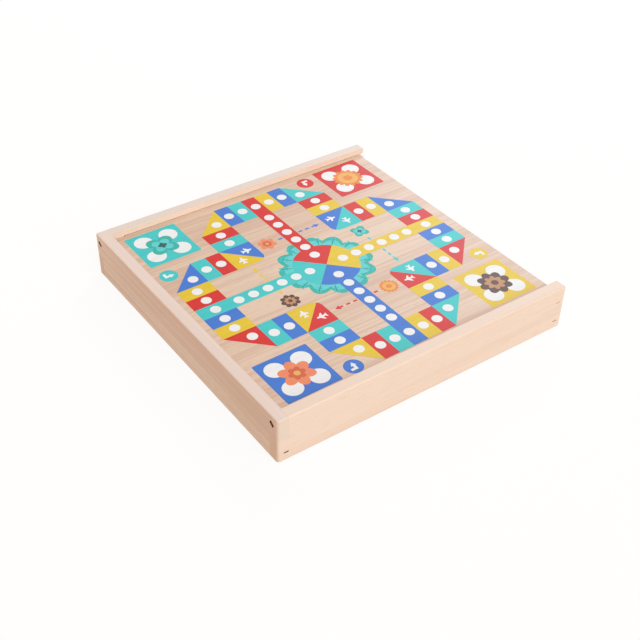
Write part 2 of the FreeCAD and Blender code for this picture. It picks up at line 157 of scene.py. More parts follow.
def sanded_beech(name, axis, tones, ends, edge):
    """Solid beech along an axis. The eye sees pale pinkish wood with long soft lines and short flecks, a
    low sheen, and pores where the board's end shows, in two tones. Its level faces take a paler, greyer
    tone: a painted sheen."""
    finish, tree, shader = new_finish(name, Roughness=0.5, IOR=1.5)
    coords = add(tree, "ShaderNodeTexCoord", {}, {})
    colour, height = grained(tree, coords.outputs["Object"], axis, tones)
    pores = add(tree, "ShaderNodeTexNoise", {},
                {"Vector": coords.outputs["Object"], "Scale": 1 / (PORE_MM * MM), "Detail": 2})
    end_grain = add(tree, "ShaderNodeMix", {"data_type": "RGBA"},
                    {0: pores.outputs[0], 6: linear(ends[0]), 7: linear(ends[1])})
    # Level faces, such as the boards' tops, mix towards a paler, greyer tone: painted sheen.
    sheen_share = add(tree, "ShaderNodeMath", {"operation": "MULTIPLY"},
                 {0: facing(tree, coords, Z), 1: TOP_SHEEN_SHARE})
    sheened = add(tree, "ShaderNodeMix", {"data_type": "RGBA"},
                {0: sheen_share.outputs[0], 6: colour, 7: linear(edge)})
    whole = add(tree, "ShaderNodeMix", {"data_type": "RGBA"},
                {0: facing(tree, coords, axis), 6: sheened.outputs[2], 7: end_grain.outputs[2]})
    surface(tree, shader, whole.outputs[2], height, GRAIN_RELIEF)
    return finish


def dress(names, finish):
    """Puts a finish on each CAD node."""
    for name in names:
        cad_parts[name].material_slots[0].material = finish


dress(("front_wall",), sanded_beech("sanded_beech_front", X, LONG_TONES, LONG_ENDS, FRONT_TOP_SHEEN))
dress(("rear_wall",), sanded_beech("sanded_beech_rear", X, LONG_TONES, LONG_ENDS, REAR_TOP_SHEEN))
dress(("left_wall", "right_wall"),
      sanded_beech("sanded_beech_cross", Y, CROSS_TONES, CROSS_ENDS, CROSS_TOP_SHEEN))

# Brads
# Flat-headed steel brads, driven just below the wood. Their colour is a dull dark brown that paints the
# shade of their holes into the steel, and at the case's right end it is mixed towards a wood tone, most of
# all on the upper ones: painted light that falls into those holes.
# Dark browns that paint the shade of the brads' holes into their steel, mottled by noise.
BRAD_SHADE_TONES = ("#74432A", "#4E2A17")
HOLE_LIGHT_TONE = "#E3C3AB"
# How far the painted light in the holes covers the lowest and the highest brad at the right end.
HOLE_LIGHT_SHARES = (0.55, 0.9)
SHADE_MOTTLE_MM = 0.8

brad_shade, tree, shader = new_finish("steel_and_hole_shade", Metallic=0.2, Roughness=0.8, Specular_IOR_Level=0.15)
coords = add(tree, "ShaderNodeTexCoord", {}, {})
shade_mottle = add(tree, "ShaderNodeTexNoise", {},
              {"Vector": coords.outputs["Object"], "Scale": 1 / (SHADE_MOTTLE_MM * MM), "Detail": 3})
hole_shade = add(tree, "ShaderNodeMix", {"data_type": "RGBA"},
            {0: shade_mottle.outputs[0], 6: linear(BRAD_SHADE_TONES[0]), 7: linear(BRAD_SHADE_TONES[1])})
parts = add(tree, "ShaderNodeSeparateXYZ", {}, {0: coords.outputs["Object"]})
# Brads at the right end mix towards a wood tone, more the higher they sit: painted light in their holes.
right_end = add(tree, "ShaderNodeMath", {"operation": "GREATER_THAN"}, {0: parts.outputs[X], 1: 0.0})
brad_low, brad_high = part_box("front_brads")
thick = add(tree, "ShaderNodeMapRange", {},
            {"Value": parts.outputs[Z], "From Min": brad_low.z, "From Max": brad_high.z,
             "To Min": HOLE_LIGHT_SHARES[0], "To Max": HOLE_LIGHT_SHARES[1]})
hole_light_share = add(tree, "ShaderNodeMath", {"operation": "MULTIPLY"},
            {0: right_end.outputs[0], 1: thick.outputs[0]})
skin = add(tree, "ShaderNodeMix", {"data_type": "RGBA"},
           {0: hole_light_share.outputs[0], 6: hole_shade.outputs[2], 7: linear(HOLE_LIGHT_TONE)})
tree.links.new(skin.outputs[2], shader.inputs["Base Color"])
dress(("left_brads", "front_brads", "rear_brads"), brad_shade)

# Floor and dividers
# Three-ply board: the floor sits in grooves in the walls, and the dividers stand on it, housed in the
# walls and in each other. Their cut edges show the darker core between two pale veneers.
VENEER_TONES = ("#EED3BE", "#E0BDA3", "#C99F80")
CORE_TONE = "#BC916F"
CORE_SHARE = 0.36
# How far the core's border blurs to each side, as a share of half the core.
CORE_BLUR_SHARE = 0.1


def plywood(name, grain, stack, low, high, tones):
    """Plywood with its veneer's grain along one axis and its plies stacked along another, between two
    heights. The eye sees a smooth satin face, and on the edges, which face away from the stack, the darker
    core in the middle share of the thickness."""
    finish, tree, shader = new_finish(name, Roughness=0.42, IOR=1.5)
    coords = add(tree, "ShaderNodeTexCoord", {}, {})
    colour, height = grained(tree, coords.outputs["Object"], grain, tones)
    parts = add(tree, "ShaderNodeSeparateXYZ", {}, {0: coords.outputs["Object"]})
    reach = add(tree, "ShaderNodeMath", {"operation": "ABSOLUTE"}, {0: parts.outputs[stack]})
    depth = add(tree, "ShaderNodeMath", {"operation": "SUBTRACT"},
                {0: reach.outputs[0], 1: (low + high) / 2})
    away = add(tree, "ShaderNodeMath", {"operation": "ABSOLUTE"}, {0: depth.outputs[0]})
    half_core = CORE_SHARE * (high - low) / 2
    inside = add(tree, "ShaderNodeMapRange", {},
                 {"Value": away.outputs[0], "From Min": (1 + CORE_BLUR_SHARE) * half_core,
                  "From Max": (1 - CORE_BLUR_SHARE) * half_core})
    face = facing(tree, coords, stack)
    core = add(tree, "ShaderNodeMath", {"operation": "MULTIPLY"}, {0: inside.outputs[0], 1: face})
    edge = add(tree, "ShaderNodeMath", {"operation": "SUBTRACT"},
               {0: inside.outputs[0], 1: core.outputs[0]})
    whole = add(tree, "ShaderNodeMix", {"data_type": "RGBA"},
                {0: edge.outputs[0], 6: colour, 7: linear(CORE_TONE)})
    surface(tree, shader, whole.outputs[2], height, GRAIN_RELIEF)
    return finish


floor_low, floor_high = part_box("floor_panel")
dress(("floor_panel",), plywood("floor_plywood", X, Z, floor_low.z, floor_high.z, VENEER_TONES))
rail_low, rail_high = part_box("rear_divider")
dress(("front_divider", "rear_divider"),
      plywood("rail_plywood", X, Y, rail_low.y, rail_high.y, VENEER_TONES))
stop_low, stop_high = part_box("rear_right_cross")
dress(("front_left_cross", "front_right_cross", "rear_left_cross", "rear_right_cross"),
      plywood("stop_plywood", Y, X, stop_low.x, stop_high.x, VENEER_TONES))

# Men
# Sixteen playing men, four of each of the board's colours, turned from solid wood and dipped in glossy
# lacquer. They lie loose in the four short cells of the case and are lifted out by hand.
LACQUERS = {"red": "#D8383C", "yellow": "#EBC63A", "blue": "#3F62C8", "teal": "#2CBDB3"}
MEN_EACH = 4
# Heights and radii of a man (mm), and how fast the body thins above the waist.
FOOT_HIGH = 1.6
FOOT_EASE = 0.5
SHOULDER_HIGH = 1.4
WAIST = 4.2
NECK = 2.3
HEAD = 4.2
TAPER_POWER = 1.3
# Rings under the foot, as shares of its flat, and the angle of the last ring below the crown (degrees).
FOOT_SHARES = (0.5, 0.96)
CROWN_ANGLE = 88
CURVE_STEPS = 12
BALL_STEPS = 24
EASE_STEPS = 6
LATHE_STEPS = 64
MEN_ROUGHNESS = 0.25
PEEL_MM = 1.5
PEEL_RELIEF = (0.08, 0.1)
# How much of its light the colour keeps where the lacquer pools.
POOL_SHARE = 0.86


def arc(x, y, radius, start, end, count):
    """Points on a circle: centre plus radius times cosine and sine of angles between two, in degrees."""
    angle = np.radians(np.linspace(start, end, count))
    return np.c_[x + radius * np.cos(angle), y + radius * np.sin(angle)]


def turned(profile, count):
    """Lathe work: every (radius, height) of the profile goes round the axis in equal steps. The first and
    last points lie on the axis and close the ends with fans. Gives points, four-sided faces and fans."""
    angle = np.arange(count) * 2 * np.pi / count
    radius, height = profile[1:-1, :1], profile[1:-1, 1:]
    rings = np.stack([radius * np.cos(angle), radius * np.sin(angle), height + 0 * angle], -1)
    tips = np.c_[np.zeros((2, 2)), profile[[0, -1], 1]]
    points = np.vstack([rings.reshape(-1, 3), tips])
    here = np.arange(count)
    ahead = (here + 1) % count
    row = np.arange(len(rings) - 1)[:, None] * count
    walls = np.stack([row + here, row + ahead, row + count + ahead, row + count + here], -1)
    last = (len(rings) - 1) * count
    under = np.c_[np.full(count, len(points) - 2), ahead, here]
    over = np.c_[np.full(count, len(points) - 1), last + here, last + ahead]
    return points, walls.reshape(-1, 4), np.vstack([under, over])


def piece(name, points, faces, finish, body, smooth):
    """A mesh object in metres that moves with a body and carries the finish that it is given."""
    mesh = bpy.data.meshes.new(name)
    mesh.from_pydata((points * MM).tolist(), [], faces)
    mesh.polygons.foreach_set("use_smooth", [smooth] * len(faces))
    mesh.materials.append(finish)
    mesh.update()
    made = bpy.data.objects.new(name, mesh)
    bpy.context.scene.collection.objects.link(made)
    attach(made, body)
    return made


def turned_piece(node, profile, finish):
    """Lathe work in a CAD node's stead: the profile for its radius and height stands at its middle. Gives the
    piece and its points about that middle."""
    low, high = (np.array(corner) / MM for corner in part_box(node))
    points, walls, fans = turned(profile((high[X] - low[X]) / 2, high[Z] - low[Z]), LATHE_STEPS)
    middle = [(low[X] + high[X]) / 2, (low[Y] + high[Y]) / 2, low[Z]]
    faces = walls.tolist() + fans.tolist()
    made = piece(f"{node}_turned", points + middle, faces, finish, "case", True)
    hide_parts(node)
    return made, points


def shaded(code, share):
    """The linear RGBA of an sRGB hex colour, darkened to a share of its light."""
    return (*(share * value for value in linear(code)[:3]), 1.0)


def lacquer(name, colour, roughness):
    """Dipped gloss lacquer on wood. The eye sees an even deep colour, a little darker where the lacquer
    pools, under a clear skin with a faint orange peel."""
    finish, tree, shader = new_finish(name, Roughness=roughness, IOR=1.5, Coat_Weight=0.3,
                                      Coat_Roughness=0.08)
    coords = add(tree, "ShaderNodeTexCoord", {}, {})
    peel = add(tree, "ShaderNodeTexNoise", {},
               {"Vector": coords.outputs["Object"], "Scale": 1 / (PEEL_MM * MM), "Detail": 2})
    skin = add(tree, "ShaderNodeMix", {"data_type": "RGBA"},
               {0: peel.outputs[0], 6: linear(colour), 7: shaded(colour, POOL_SHARE)})
    surface(tree, shader, skin.outputs[2], peel.outputs[0], PEEL_RELIEF)
    return finish


def man_profile(radius, height):
    """A pawn's outline from the foot's middle to the crown: an eased foot, a hollow quarter-ellipse up to
    the waist, a taper that slows towards the neck, and a ball."""
    s = np.linspace(0, 1, CURVE_STEPS)
    rim = radius - FOOT_EASE
    shoulder = np.c_[rim - (rim - WAIST) * np.sin(s * np.pi / 2),
                     FOOT_HIGH + SHOULDER_HIGH * (1 - np.cos(s * np.pi / 2))]
    neck_angle = -math.degrees(math.acos(NECK / HEAD))
    head = arc(0, height - HEAD, HEAD, neck_angle, CROWN_ANGLE, BALL_STEPS)
    waist_high = FOOT_HIGH + SHOULDER_HIGH
    taper = np.c_[NECK + (WAIST - NECK) * (1 - s) ** TAPER_POWER, waist_high + (head[0, 1] - waist_high) * s]
    foot = [[0, 0]] + [[share * rim, 0] for share in FOOT_SHARES]
    return np.vstack([foot, arc(rim, FOOT_EASE, FOOT_EASE, -90, 0, EASE_STEPS),
                      arc(rim, FOOT_HIGH - FOOT_EASE, FOOT_EASE, 0, 90, EASE_STEPS),
                      shoulder[1:], taper[1:-1], head, [[0, height]]])


for colour, code in LACQUERS.items():
    finish = lacquer(f"{colour}_gloss_lacquer", code, MEN_ROUGHNESS)
    for number in range(1, MEN_EACH + 1):
        turned_piece(f"{colour}_man_{number}", man_profile, finish)

# Draughts
# Twenty-four turned discs with a ring cut in both faces, twelve of waxed beech and twelve stained brown,
# each cut from the plank at its own angle.
DRAUGHT_WOODS = {"light": ("#F0D2AE", "#DDB486", "#C2925F"), "dark": ("#7A5138", "#5E3B27", "#3F2617")}
DRAUGHTS_A_SIDE = 12
# Sizes of the cut ring and of the rim's rounding (mm).
RING_RADIUS = 8.0
RING_DEPTH = 0.8
RIM_EASE = 1.0
# Rings that keep the flats flat: half way to the cut ring, just inside it, just outside it, and just inside
# the eased rim, each as a share of the radius that it lies beside.
FLAT_SHARES = (0.5, 0.97)
BAND_SHARES = (1.02, 0.98)
RING_STEPS = 9
RIM_STEPS = 7
WAX_RELIEF = (0.15, 0.2)
# Each disc comes from further across the plank (mm) and is turned on by the golden angle (radians).
PLANK_STEP = 30
GOLDEN_TURN = 2.39996


def draught_profile(radius, thick):
    """A disc's outline from its lower middle to its upper one: flat, a half-round ring, an eased rim, and
    the same again mirrored about half the thickness."""
    ring = arc(RING_RADIUS, 0, RING_DEPTH, 180, 0, RING_STEPS)
    rim = arc(radius - RIM_EASE, RIM_EASE, RIM_EASE, -90, 0, RIM_STEPS)
    inner = RING_RADIUS - RING_DEPTH
    flat = [[0, 0]] + [[share * inner, 0] for share in FLAT_SHARES]
    band = [[BAND_SHARES[0] * (RING_RADIUS + RING_DEPTH), 0], [BAND_SHARES[1] * (radius - RIM_EASE), 0]]
    lower = np.vstack([flat, ring, band, rim])
    return np.vstack([lower, (lower * [1, -1] + [0, thick])[::-1]])


def waxed_wood(name, tones):
    """Turned and waxed wood. The eye sees the plank's lines run across each disc at its own angle, under a
    soft wax sheen."""
    finish, tree, shader = new_finish(name, Roughness=0.4, IOR=1.45)
    place = add(tree, "ShaderNodeAttribute", {"attribute_name": "plank_place"}, {})
    colour, height = grained(tree, place.outputs["Vector"], X, tones)
    surface(tree, shader, colour, height, WAX_RELIEF)
    return finish


for colour, tones in DRAUGHT_WOODS.items():
    finish = waxed_wood(f"waxed_{colour}_wood", tones)
    for number in range(1, DRAUGHTS_A_SIDE + 1):
        node = f"{colour}_draught_{number}"
        draught, points = turned_piece(node, draught_profile, finish)
        cos, sin = math.cos(GOLDEN_TURN * number), math.sin(GOLDEN_TURN * number)
        across = points @ [[cos, sin, 0], [-sin, cos, 0], [0, 0, 1]]
        plank = (across + [0, PLANK_STEP * number, 0]) * MM
        place = draught.data.attributes.new("plank_place", "FLOAT_VECTOR", "POINT")
        place.data.foreach_set("vector", plank.astype(np.float32).ravel())

# Dice
# Two wooden dice with rounded edges, dipped in white lacquer. Their pips are dimples made with a ball-ended
# drill, with a drop of black paint dried in each. They lie loose in the case.
DIE_WHITE = "#F2EFE9"
PIP_BLACK = "#26242A"
# The pips' spacing, and the drill's radius and depth (mm).
PIP_STEP = 3.6
DRILL_RADIUS = 1.6
DRILL_DEPTH = 0.7
# How far the paint fills a dimple's depth, and how far it reaches to the dimple's rim.
PAINT_SHARE = 0.35
PAINT_REACH_SHARE = 0.94
PIP_RINGS = 8
PIP_STEPS = 20
DIE_ROUGHNESS = 0.3
PIP_ROUGHNESS = 0.35
# The pips' places on each face, in steps from its middle, and the axis and side of each face.
PIP_PLACES = {
    1: [(0, 0)],
    2: [(-1, -1), (1, 1)],
    3: [(-1, -1), (0, 0), (1, 1)],
    4: [(-1, -1), (-1, 1), (1, -1), (1, 1)],
    5: [(-1, -1), (-1, 1), (0, 0), (1, -1), (1, 1)],
    6: [(-1, -1), (-1, 0), (-1, 1), (1, -1), (1, 0), (1, 1)],
}
DIE_FACES = {1: (Z, 1), 6: (Z, -1), 2: (Y, 1), 5: (Y, -1), 3: (X, 1), 4: (X, -1)}


def pip_profile():
    """A drop of paint in a dimple, from its deepest point to its middle: the drill's round below, and a
    shallower round of the same rim above."""
    rim = math.sqrt(DRILL_RADIUS ** 2 - (DRILL_RADIUS - DRILL_DEPTH) ** 2)
    radius = np.linspace(0, PAINT_REACH_SHARE * rim, PIP_RINGS)
    below = DRILL_RADIUS - DRILL_DEPTH - np.sqrt(DRILL_RADIUS ** 2 - radius ** 2)
    above = below * (1 - PAINT_SHARE)
    return np.vstack([np.c_[radius, below], np.c_[radius, above][::-1]])


dress(("die_1", "die_2"), lacquer("white_gloss_lacquer", DIE_WHITE, DIE_ROUGHNESS))
pip_paint = lacquer("black_pip_paint", PIP_BLACK, PIP_ROUGHNESS)
drop, walls, fans = turned(pip_profile(), PIP_STEPS)
for node in ("die_1", "die_2"):
    low, high = (np.array(corner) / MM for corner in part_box(node))
    drops = []
    for count, (axis, side) in DIE_FACES.items():
        for place in PIP_PLACES[count]:
            spot = [share * PIP_STEP for share in place]
            spot.insert(axis, side * (high[Z] - low[Z]) / 2)
            # The drop's axes turn with the face: its height runs outwards, the others follow round.
            turned_drop = np.roll(drop * [1, side, side], axis + 1, axis=1)
            drops.append(turned_drop + (low + high) / 2 + spot)
    starts = np.arange(len(drops))[:, None, None] * len(drop)
    faces = (walls + starts).reshape(-1, 4).tolist() + (fans + starts).reshape(-1, 3).tolist()
    piece(f"{node}_pips", np.vstack(drops), faces, pip_paint, "case", True)

# Lid
# A plywood board, sanded and sealed before it is printed, that slides in the walls' grooves and leaves the
# case over the low right wall.
LID_TONES = ("#DBC3AF", "#CBAB97", "#C2A389")

lid_low, lid_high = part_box("sliding_lid")
dress(("sliding_lid",), plywood("lid_plywood", X, Z, lid_low.z, lid_high.z, LID_TONES))

# Printed board
# A four-player flight track, screen printed on the lid in flat inks: fifty-two cells, four home runs,
# four corner homes, dashed flights and entry arrows. Each ink lies a little higher than the one below.
INK_TONES = {
    "red": "#D32B26", "yellow": "#E2C62F", "blue": "#4079D6", "teal": "#41C9CD", "white": "#ECF1F8",
    "coral": "#E98B66", "rust": "#CF6644", "brown": "#5E3F33", "tan": "#BE8E66", "orange": "#E48A34",
    "apricot": "#EAB25E", "sea": "#34B4AA", "mist": "#5ED0D4", "pine": "#1F5F66",
}
# Height of one layer of ink (mm), and the layers that shapes start in, from the wood upwards.
INK_HIGH = 0.03
UNDER, LIFT, TRACK, MARK = range(4)
INK_RELIEF = (0.08, 0.1)
# How much of its light an ink keeps in the grain's streaks, and the heights between which they fade.
FILM_SHARE = 0.93
STREAK_RANGE = (0.3, 0.7)
# Width of a cell along the track, its length across it, its circle's radius, and its marks' places in the
# corner cells as a share of that length. All sizes of the print are millimetres from its middle.
CELL = 14.05
REACH = 29.65
CIRCLE = 4.4
CORNER_SHARE = 0.31
INNER_ROUND = 8.0
TRACK_INKS = ("yellow", "blue", "teal", "red")
# Homes, runs and flights of the four players, clockwise from the rear.
HOME_INKS = ("red", "yellow", "blue", "teal")
FLIGHT_INKS = ("blue", "teal", "red", "yellow")
MOTIFS = ("sun", "rosette", "blossom", "clover")
BADGES = ("blossom", "clover", "sun", "rosette")
HUB_RADIUS = 28.5
RUN_FIRST = 16.95
RUN_STEP = 13.81
RUN_CIRCLES = 6
HOME_SIDE = 98.3
HOME_REAR = 101.3
HOME_HALF = 24.2
HOME_ROUND = 1.2
HOME_CIRCLE = 8.2
HOME_STEP = 11.8
ENTRY_PLACE = (59.8, 115.8)
ENTRY_RADIUS = 7.9
# A flight's distance from the middle, its dashes, and its head's back, neck, tip and half width.
FLIGHT_SIDE = 53.0
FLIGHT_FIRST = -10.5
FLIGHT_STEP = 7.0
FLIGHT_DASHES = 5
FLIGHT_DASH = (3.9, 1.9)
FLIGHT_HEAD = (22.5, 25.4, 30.3, 2.6)
BADGE_PLACE = (-24.0, 53.0)
BADGE_RADIUS = 8.4
MOTIF_RADIUS = 14.5
# Layers of each ornament: ink, share of its radius, petals, their depth as a share, and turn (degrees). A
# layer without depth is a plain disc.
ORNAMENTS = {
    "blossom": (("coral", 1, 6, 0.34, 30), ("rust", 0.5, 6, 0.30, 0), ("apricot", 0.18, 2, 0, 0)),
    "rosette": (("brown", 1, 8, 0.24, 0), ("tan", 0.62, 8, 0.30, 22.5), ("brown", 0.22, 2, 0, 0)),
    "sun": (("orange", 1, 14, 0.20, 0), ("apricot", 0.66, 2, 0, 0), ("orange", 0.34, 7, 0.30, 0)),
    "clover": (("sea", 1, 4, 0.42, 45), ("mist", 0.66, 4, 0.42, 45), ("pine", 0.28, 4, 0.42, 0)),
}
# The garland round the hub, and its sprigs: their headings in a quarter (degrees), the places of their leaves
# as shares of their length, and a leaf's length and width.
WREATH_RADIUS = 41.5
WREATH_INNER_SHARE = 0.88
WREATH_DEPTH_SHARE = 0.16
WREATH_LOBES = 12
SPRIG_HEADINGS = (23, 45, 67)
SPRIG_LENGTH = 10.5
SPRIG_SHARES = (0.35, 0.6, 0.85)
SPRIG_LEAF = (3.4, 1.5)
SPRIG_LEAN = 48
STEM_WIDTH = 0.8
# Points on a round corner, a petal, a disc, a leaf's side, a bend of the track and a side of the hub.
CORNER_STEPS = 6
PETAL_STEPS = 24
DISC_STEPS = 48
LEAF_STEPS = 17
BEND_STEPS = 13
HUB_STEPS = 9
# The print lies a little off the lid's middle and is turned a little.
PRINT_SHIFT = (1.24, -1.11)
PRINT_TURN = math.radians(0.44)
PLANE_LENGTH = 9.4
PLANE_PLACE_SHARES = (0.30, 0.355)
# Half of an aeroplane seen from above, nose to +X: places along and beside its middle, as shares of its
# length.
PLANE_SHARES = ((0.50, 0.00), (0.47, 0.06), (0.40, 0.10), (0.22, 0.115), (-0.04, 0.43), (-0.18, 0.43),
                (-0.09, 0.115), (-0.32, 0.10), (-0.42, 0.23), (-0.52, 0.23), (-0.47, 0.00))
# A bent arrow from its tail round its elbow to its tip, as shares of its disc's radius.
BENT_SHARES = ((0.49, 0.49), (-0.25, 0.49), (-0.25, -0.09), (-0.41, -0.09), (-0.10, -0.60), (0.21, -0.09),
               (0.05, -0.09), (0.05, 0.19), (0.49, 0.19))


def rectangle(x0, x1, y0, y1):
    """The four corners between two places in x and two in y."""
    return np.array([(x0, y0), (x1, y0), (x1, y1), (x0, y1)])


def rounded_square(x, y, half, ease):
    """A square about a middle with a quarter circle at each corner."""
    inner = half - ease
    corners = ((1, 1, 0), (-1, 1, 90), (-1, -1, 180), (1, -1, 270))
    return np.vstack([arc(x + i * inner, y + j * inner, ease, start, start + 90, CORNER_STEPS)
                      for i, j, start in corners])


def petals(x, y, radius, count, depth, turn):
    """A flower outline: radius less a depth times one minus the size of the cosine of half of count times
    the angle, so that round lobes meet in sharp valleys."""
    angle = np.linspace(0, 2 * np.pi, PETAL_STEPS * count, endpoint=False)
    reach = radius * (1 - depth * (1 - np.abs(np.cos(count * (angle - math.radians(turn)) / 2))))
    return np.c_[x + reach * np.cos(angle), y + reach * np.sin(angle)]


def disc(x, y, radius):
    """A whole circle, whose last point stops one step short of its first."""
    return arc(x, y, radius, 0, 360 - 360 / DISC_STEPS, DISC_STEPS)


def leaf(x, y, length, width, turn):
    """An almond from a place outwards: a sine half-wave out along one side and back along the other."""
    s = np.linspace(0, 1, LEAF_STEPS)
    side = width / 2 * np.sin(np.pi * s)
    flat = np.vstack([np.c_[length * s, -side], np.c_[length * s, side][-2:0:-1]])
    return turn_by(flat, math.radians(turn)) + [x, y]


def turn_by(outline, angle):
    """The outline turned anticlockwise about the middle."""
    cos, sin = math.cos(angle), math.sin(angle)
    return np.asarray(outline) @ [[cos, sin], [-sin, cos]]


def quarter(outline, count):
    """The outline turned clockwise by quarter turns, as the board repeats."""
    return turn_by(outline, -count * math.pi / 2)


def plates(shapes, base, side):
    """Flat plates from (outline, top) pairs: each outline is put at the base and at its top, walled round
    and capped. Side is 1 for plates that rise and -1 for plates that hang."""
    points, faces, start = [], [], 0
    for outline, top in shapes:
        count = len(outline)
        ahead = np.roll(outline, -1, axis=0)
        area = np.sum(outline[:, 0] * ahead[:, 1] - ahead[:, 0] * outline[:, 1])
        ring = outline[::int(np.sign(area)) * side]
        here = np.arange(count) + start
        onward = (np.arange(count) + 1) % count + start
        points += [np.c_[ring, np.full(count, base)], np.c_[ring, np.full(count, base + side * top)]]
        faces += np.c_[here, onward, onward + count, here + count].tolist()
        faces += [here[::-1].tolist(), (here + count).tolist()]
        start += 2 * count
    return np.vstack(points), faces


def screen_ink(name, colour):
    """Flat screen ink on sanded veneer. The eye sees an even matt colour, so thin that the grain still shows
    in it as faint streaks and a slight relief."""
    finish, tree, shader = new_finish(name, Roughness=0.42, IOR=1.45, Specular_IOR_Level=0.3)
    coords = add(tree, "ShaderNodeTexCoord", {}, {})
    _, _, height = wood_figure(tree, coords.outputs["Object"], X)
    streak = add(tree, "ShaderNodeMapRange", {},
                 {"Value": height, "From Min": STREAK_RANGE[0], "From Max": STREAK_RANGE[1]})
    film = add(tree, "ShaderNodeMix", {"data_type": "RGBA"},
               {0: streak.outputs[0], 6: shaded(colour, FILM_SHARE), 7: linear(colour)})
    surface(tree, shader, film.outputs[2], height, INK_RELIEF)
    return finish


def motif(kind, x, y, radius, level):
    """A plain ornament about a middle: its layers as (ink, outline, level) rows, each a level higher."""
    return [(ink, petals(x, y, share * radius, count, depth, turn), level + step)
            for step, (ink, share, count, depth, turn) in enumerate(ORNAMENTS[kind])]


# The lines that the track's cells lie between, outwards from the middle: the side of a home run, the side of
# an arm, the end of a bend, the line between two side cells, and an arm's foot and tip.
run_side = CELL / 2
arm_side = 5 * CELL / 2
bend_end = arm_side + REACH
cell_line = bend_end + CELL
arm_foot = bend_end + 2 * CELL
arm_tip = arm_foot + REACH
arm_middle = arm_foot + REACH / 2
side_middle = arm_side + REACH / 2
bend = arc(arm_side + INNER_ROUND, arm_side + INNER_ROUND, INNER_ROUND, 180, 270, BEND_STEPS)
half_bend = BEND_STEPS // 2
corner_leg = CORNER_SHARE * REACH
short_leg, long_leg = (share * REACH for share in PLANE_PLACE_SHARES)
# One quarter of the track, clockwise from the rear arm's left corner: each cell's outline and its mark's
# place. The two cells with a heading (degrees) carry an aeroplane instead of a circle.
arm_cells = [(rectangle((column - 0.5) * CELL, (column + 0.5) * CELL, arm_foot, arm_tip),
              (column * CELL, arm_middle), None) for column in range(-2, 3)]
track_quarter = [
    (np.array([(-arm_side, arm_tip), (-bend_end, arm_foot), (-arm_side, arm_foot)]),
     (-arm_side - corner_leg, arm_foot + corner_leg), None),
    *arm_cells,
    (np.array([(arm_side, arm_tip), (arm_side, arm_foot), (bend_end, arm_foot)]),
     (arm_side + corner_leg, arm_foot + corner_leg), None),
    (rectangle(arm_side, bend_end, cell_line, arm_foot), (side_middle, cell_line + CELL / 2), None),
    (rectangle(arm_side, bend_end, bend_end, cell_line), (side_middle, bend_end + CELL / 2), None),
    (np.vstack([[(bend_end, bend_end), (arm_side, bend_end)], bend[:half_bend + 1]]),
     (arm_side + short_leg, bend_end - long_leg), 0),
    (np.vstack([bend[half_bend:], [(bend_end, arm_side), (bend_end, bend_end)]]),
     (bend_end - long_leg, arm_side + short_leg), -90),
    (rectangle(bend_end, cell_line, arm_side, bend_end), (bend_end + CELL / 2, side_middle), None),
    (rectangle(cell_line, arm_foot, arm_side, bend_end), (cell_line + CELL / 2, side_middle), None),
]
half_plane = np.array(PLANE_SHARES) * PLANE_LENGTH
aeroplane = np.vstack([half_plane, (half_plane * [1, -1])[-2:0:-1]])
mouth = math.degrees(math.acos(run_side / HUB_RADIUS))
half_lobe = 180 / WREATH_LOBES
